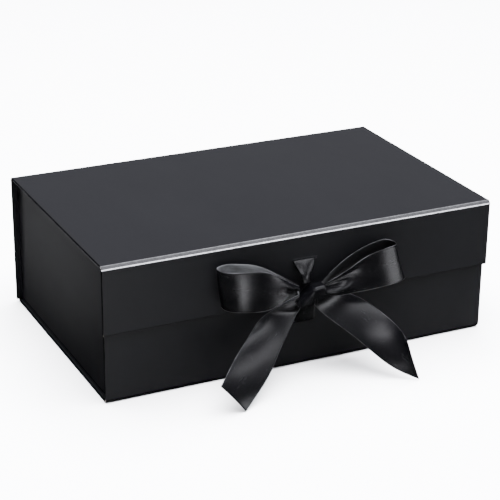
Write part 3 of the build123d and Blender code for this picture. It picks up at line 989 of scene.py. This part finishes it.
def ribbon_pieces() -> list[RibbonPiece]:
    """The given edges of every length of ribbon."""
    return [
        RibbonPiece("left_loop_satin", "left_loop", "flap", "gathered", (
            (-7.0, 7.5, 5.5, -7.0, 7.0, -2.5, 1.0),
            (-14.0, 6.2, 10.2, -14.0, 5.5, -5.0, 0.8),
            (-22.0, 4.6, 15.3, -23.0, 4.0, -5.5, 0.35),
            (-33.6, 3.0, 21.6, -34.0, 3.0, -3.5, 0.05),
            (-46.0, 2.5, 24.8, -46.0, 2.5, -0.8, 0.0),
            (-56.0, 3.2, 26.2, -54.5, 3.2, 0.6, 0.0),
            (-61.7, 6.2, 25.9, -58.6, 6.7, 0.4, 0.0),
            (-60.2, 10.5, 25.2, -57.8, 10.8, -0.2, 0.0),
            (-53.5, 14.2, 24.8, -53.5, 14.6, -0.7, 0.0),
            (-44.6, 16.0, 24.2, -44.5, 16.6, -1.7, 0.0),
            (-35.0, 16.2, 22.9, -35.0, 16.4, -2.7, 0.0),
            (-26.5, 14.8, 18.4, -26.3, 15.0, -2.3, 0.1),
            (-17.5, 12.5, 12.2, -18.0, 12.8, -0.6, 0.5),
            (-8.5, 10.6, 6.4, -9.0, 10.8, 1.2, 1.0),
        ), pleats=1.0, pleat_depth=1.6, lit_inside=True),
        RibbonPiece("right_loop_satin", "right_loop", "flap", "gathered", (
            (7.0, 7.5, 4.0, 7.0, 7.0, -4.5, 1.0),
            (13.0, 5.4, 7.6, 14.0, 5.0, -5.5, 0.8),
            (21.0, 3.8, 12.4, 23.0, 3.6, -6.5, 0.4),
            (30.0, 2.8, 17.2, 33.0, 2.7, -6.5, 0.1),
            (40.0, 2.7, 21.4, 44.5, 2.7, -3.6, 0.0),
            (49.5, 4.2, 24.6, 56.0, 4.0, -0.4, 0.0),
            (56.0, 7.2, 25.2, 64.0, 6.4, -0.9, 0.0),
            (58.4, 10.6, 23.9, 66.4, 9.8, -1.2, 0.0),
            (53.5, 13.4, 23.4, 60.6, 13.2, -1.8, 0.0),
            (44.5, 15.2, 23.0, 49.5, 15.8, -1.6, 0.0),
            (34.5, 15.6, 20.6, 37.5, 16.3, -1.8, 0.0),
            (25.0, 14.6, 15.0, 25.5, 15.3, -2.2, 0.4),
            (15.5, 12.8, 9.2, 16.0, 13.3, -2.8, 1.0),
            (8.5, 11.3, 5.4, 9.0, 11.5, -1.5, 1.0),
        ), pleats=1.0, pleat_depth=2.3, turned=True),
        RibbonPiece("left_tail_satin", "left_tail", "flap", "hung", (
            (-6.0, 8.5, -1.5, -4.0, 8.0, -6.0, 1.0),
            (-17.0, 6.5, -5.5, -6.5, 7.5, -10.5, 0.7),
            (-29.8, 6.0, -10.8, -9.5, 9.0, -13.2, 0.25),
            (-37.8, 9.5, -14.8, -16.3, 13.5, -20.3, 0.05),
            (-48.5, 18.0, -19.8, -26.0, 20.5, -28.6, 0.0),
            (-58.8, 26.0, -24.9, -35.7, 28.5, -37.0, 0.0),
            (-67.0, 33.5, -29.2, -47.5, 35.5, -45.6, 0.0),
            (-74.8, 40.8, -33.3, -58.6, 41.2, -52.9, 0.0),
        ), crown=-0.7, pleats=0.5, pleat_depth=-0.6, turned=True),
        RibbonPiece("right_tail_satin", "right_tail", "flap", "hung", (
            (3.0, 8.0, -3.5, 7.5, 8.0, -3.0, 1.0),
            (3.2, 8.2, -8.0, 19.0, 6.5, -4.0, 0.5),
            (9.0, 12.0, -15.3, 31.0, 7.5, -7.5, 0.15),
            (16.5, 18.0, -21.8, 39.0, 13.0, -12.0, 0.0),
            (24.0, 24.0, -28.4, 45.5, 20.5, -17.5, 0.0),
            (32.5, 31.5, -36.8, 49.5, 28.5, -21.8, 0.0),
            (43.0, 40.5, -45.8, 51.2, 35.5, -25.6, 0.0),
            (56.9, 48.5, -52.9, 51.4, 41.5, -29.5, 0.0),
        ), crown=-0.7, pleats=0.5, pleat_depth=-0.6, turned=True),
        RibbonPiece("upper_lead_satin", "upper_lead", "flap", "gathered", level_edges(
            (-7.9, 7.0, -1.2, 19.4, 0.2),
            (-8.1, 6.8, 0.5, 19.3, 0.45),
            (-7.6, 6.0, 2.2, 17.8, 0.8),
            (-6.6, 3.8, 4.8, 14.6, 1.0),
            (-5.6, 1.2, 7.2, 11.4, 1.0),
            (-5.0, 0.2, 8.8, 7.0, 1.0),
        ), crown=0.0, pleats=0.5, pleat_depth=-0.9, along=48, across=65, folded=True, turned=True),
        RibbonPiece("lower_lead_satin", "lower_lead", "tray", "gathered", level_edges(
            (-6.3, 7.3, -3.4, -23.0, 0.3),
            (-6.3, 7.3, -0.2, -22.9, 0.3),
            (-6.2, 7.2, 1.0, -21.8, 0.35),
            (-6.0, 7.0, 1.9, -19.0, 0.4),
            (-5.8, 6.8, 2.5, -15.7, 0.4),
        ), crown=0.0, pleats=0.5, pleat_depth=0.8, along=32, across=65, folded=True),
        RibbonPiece("lower_lead_end_satin", "lower_lead_end", "flap", "gathered", level_edges(
            (-5.85, 6.85, 2.4, -16.5, 0.4),
            (-5.6, 6.4, 3.4, -12.5, 0.5),
            (-5.0, 5.6, 4.8, -9.0, 0.7),
            (-4.4, 4.4, 6.4, -4.5, 0.8),
        ), crown=0.0, pleats=0.5, pleat_depth=0.8, along=32, across=65, folded=True),
    ]


@dataclass
class Bow:
    """The bow: two leads from the slits, a knot, two loops and two tails."""

    material: Material
    reverse: Material
    lit_reverse: Material
    rests: tuple = ("flap_paper",)

    def __post_init__(self) -> None:
        """Reads the knot's middle and the flap's face from the frame."""
        low, high = corners_of("knot")
        board_low, _ = corners_of("flap_board")
        self.origin = np.array([(low[0] + high[0]) / 2, board_low[1] - PAPER, (low[2] + high[2]) / 2])
        self.knot_size = high - low
        self.knot_out = float(self.origin[1] - (low[1] + high[1]) / 2)

    def place(self, sheet: np.ndarray) -> np.ndarray:
        """Turns (x, out, up) from the knot into X, Y, Z."""
        return self.origin + sheet * np.array([1.0, -1.0, 1.0])

    @staticmethod
    def thicken(made: Object, reverse: Material) -> None:
        """Gives a sheet its cloth's thickness, half on each side, and its duller reverse."""
        made.data.materials.append(reverse)
        wall = made.modifiers.new("cloth", "SOLIDIFY")
        wall.material_offset = 1
        wall.thickness = CLOTH * MM
        wall.offset = 0.0
        wall.use_even_offset = False

    @staticmethod
    def cut_corners(rows: np.ndarray, times: int) -> np.ndarray:
        """Rounds closed outlines: each side keeps its points at 0.2 and 0.8 of its length."""
        for _ in range(times):
            after = np.roll(rows, -1, axis=0)
            rows = np.stack([0.8 * rows + 0.2 * after, 0.2 * rows + 0.8 * after], axis=1)
            rows = rows.reshape(-1, *after.shape[1:])
        return rows

    def build_knot(self) -> None:
        """Wraps the ribbon once round the gathered leads.

        With s from -1 to 1 along X, the section is a six-cornered outline whose top climbs
        from the lower left, levels out past the middle, and has a slanting turned edge there.
        It closes in at both ends as 0.28 + 0.72 (1 - s^8)^0.5.
        """
        sections, width_round = 61, 0.72
        s = np.linspace(-1, 1, sections)
        half = self.knot_size / 2
        level = 1 / (1 + np.exp((s + 0.12) * 9.0))
        top = 5.5 - 7.6 * level * np.clip(-0.12 - s + 0.25, 0, None) + 0.5 * s
        turned = 1.7 + 1.5 * level
        low = -6.6 + 3.4 * np.clip(s, 0, None) ** 1.5
        front, behind = half[1] - 0.5 + 0.5 * level, -half[1] + 1.2
        corners = np.stack([
            np.stack([0.86 * front, low + 0.6], axis=1),
            np.stack([front, top - turned], axis=1),
            np.stack([front - 1.15 * turned, top], axis=1),
            np.stack([behind + 0 * s, top - 0.8], axis=1),
            np.stack([behind + 0 * s, low + 1.4], axis=1),
            np.stack([0.2 * front, low - 0.4], axis=1),
        ])
        rows = self.cut_corners(corners, 4)
        close = np.sqrt(np.clip(1 - s**8, 0.0, 1.0)) * width_round + (1 - width_round)
        middle = corners.mean(axis=0)
        rows = middle + (rows - middle) * close[None, :, None]
        rows = np.concatenate([rows, rows[:1]])
        wrinkle = 0.16 * np.sin(5.2 * s[None] + 0.45 * rows[..., 1]) * (1 - s**8)[None]
        x = s[None] * (half[0] - 0.1) + 0.05 * rows[..., 1]
        out = self.knot_out + rows[..., 0] + wrinkle
        up = rows[..., 1]
        wide = np.broadcast_to((s + 1) / 2, up.shape)
        turn = np.broadcast_to(np.linspace(0, 1, len(rows))[:, None], up.shape)
        sheet = np.stack([x, out, up], axis=2)
        flat_round = float(np.linalg.norm(np.diff(sheet[:, sections // 2], axis=0), axis=1).sum())
        uv = np.stack([wide * RIBBON_WIDTH * MM, turn * flat_round * MM], axis=2)
        made = lay_mesh("knot_satin", self.place(sheet), grid_faces(*up.shape), self.material,
                        {"gather": np.full(up.shape, 0.6)}, uv)
        close_up(made, gap=1e-6, drop_slivers=False)
        self.thicken(made, self.reverse)
        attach(made, "flap")
        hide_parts("knot")
        log.info("knot_satin: %.1f mm of ribbon round the leads", flat_round)

    def build(self) -> None:
        """Builds the whole bow."""
        self.build_knot()
        for piece in ribbon_pieces():
            piece.build(self)


# ---------------------------------------------------------------- studio
@dataclass
class Softbox:
    """An area light that looks at a point."""

    name: str
    place: tuple
    aim: tuple
    size: tuple
    watts: float
    gloss_only: bool = False
    soft_only: bool = False

    def build(self) -> None:
        """Makes the light."""
        lamp = bpy.data.lights.new(self.name, "AREA")
        lamp.shape = "RECTANGLE"
        lamp.size, lamp.size_y = self.size
        lamp.energy = self.watts
        lamp.color = (0.975, 0.98, 1.03)
        made = add_object(self.name, lamp)
        made.location = self.place
        look = Vector(self.aim) - Vector(self.place)
        made.rotation_euler = look.to_track_quat("-Z", "Y").to_euler()
        made.visible_camera = False
        made.visible_diffuse = not self.gloss_only
        made.visible_glossy = not self.soft_only


@dataclass
class Card(Softbox):
    """A softbox that shows only in reflections."""

    gloss_only: bool = True


@dataclass
class Studio:
    """Pale floor, soft lights, pale surround and the camera."""

    finishes: Finishes
    floor_half: float = 7.0
    floor_drop: float = 0.05
    camera_place: tuple = (-0.43599, -0.90483, 0.46384)
    azimuth: float = -25.868
    elevation: float = 22.557
    roll: float = 0.598
    lens: float = 118.517
    surround: tuple = (0.96, 0.97, 1.0)
    surround_strength: float = 0.03

    def build_camera(self) -> None:
        """Stands the camera at its place, turned by its azimuth, elevation and roll."""
        azimuth, elevation, roll = (math.radians(a) for a in (self.azimuth, self.elevation, self.roll))
        back = Vector((math.sin(azimuth) * math.cos(elevation),
                       -math.cos(azimuth) * math.cos(elevation), math.sin(elevation)))
        level = (-back).cross(Vector((0, 0, 1))).normalized()
        above = level.cross(-back)
        right = level * math.cos(roll) + above * math.sin(roll)
        up = above * math.cos(roll) - level * math.sin(roll)
        data = bpy.data.cameras.new("view")
        data.lens = self.lens
        data.sensor_width = 36.0
        camera = add_object("view", data)
        camera.matrix_world = Matrix((
            (right.x, up.x, back.x, self.camera_place[0]),
            (right.y, up.y, back.y, self.camera_place[1]),
            (right.z, up.z, back.z, self.camera_place[2]),
            (0, 0, 0, 1),
        ))
        bpy.context.scene.camera = camera

    def build_floor(self) -> None:
        """Lays the floor just under the box."""
        half = self.floor_half / MM
        side = np.linspace(-half, half, 3)
        x, y = np.meshgrid(side, side, indexing="ij")
        points = np.stack([x, y, np.full_like(x, -self.floor_drop)], axis=2)
        floor = lay_mesh("studio_floor", points, grid_faces(3, 3)[:, ::-1], self.finishes.floor)
        floor.visible_glossy = False

    def build_surround(self) -> None:
        """Sets the even pale light all round."""
        world = bpy.data.worlds.new("surround")
        world.use_nodes = True
        background = world.node_tree.nodes["Background"]
        background.inputs[0].default_value = (*self.surround, 1.0)
        background.inputs[1].default_value = self.surround_strength
        bpy.context.scene.world = world

    def build_lights(self) -> None:
        """Hangs the softboxes."""
        for light in (
            Softbox("overhead", (0.15, 0.05, 1.90), (0.0, 0.0, 0.05), (2.6, 2.2), 800.0, soft_only=True),
            Softbox("front_right", (0.75, -1.50, 0.62), (0.0, -0.08, 0.06), (0.9, 0.35), 4.5),
            Softbox("side_right", (0.95, -0.68, 0.70), (-0.04, -0.11, 0.03), (0.45, 0.30), 1.15),
            Softbox("front_left", (-0.26, -0.98, 1.10), (0.04, -0.11, 0.03), (0.42, 0.36), 2.0),
            Card("front_card", (-0.25, -1.35, 0.09), (0.02, -0.10, 0.055), (0.30, 0.20), 1.1),
            Card("top_card", (0.55, -0.35, 1.30), (0.0, 0.0, 0.05), (0.9, 0.7), 5.0),
            Card("behind_card", (1.10, 2.20, 1.05), (0.0, 0.0, 0.05), (2.6, 1.6), 3.7),
            Card("loop_card_left", (0.022, -1.228, -0.341), (-0.05, -0.10, 0.067), (0.24, 0.34), 1.6),
            Card("loop_card_right", (1.037, -0.686, -0.296), (0.053, -0.098, 0.064), (0.18, 0.36), 1.15),
            Card("fold_card_right", (0.0, -0.50, 0.75), (0.015, -0.098, 0.057), (0.16, 0.13), 0.30),
            Card("fold_card_left", (0.365, -0.237, -0.227), (-0.02, -0.097, 0.058), (0.10, 0.10), 0.20),
            Card("side_card", (-0.19, 0.19, 0.01), (0.0, 0.19, 0.01), (0.26, 0.09), 0.033),
        ):
            light.build()

    def build(self) -> None:
        """Builds the whole studio."""
        self.build_camera()
        self.build_floor()
        self.build_surround()
        self.build_lights()


def main() -> None:
    """Builds the studio, the box and the bow in order."""
    logging.basicConfig(level=logging.INFO, format="%(name)s: %(message)s")
    finishes = Finishes()
    Studio(finishes).build()
    Box(finishes).build()
    Bow(finishes.ribbon, finishes.reverse, finishes.lit_reverse).build()
    log.info("everything is built")


if __name__ == "__main__":
    main()
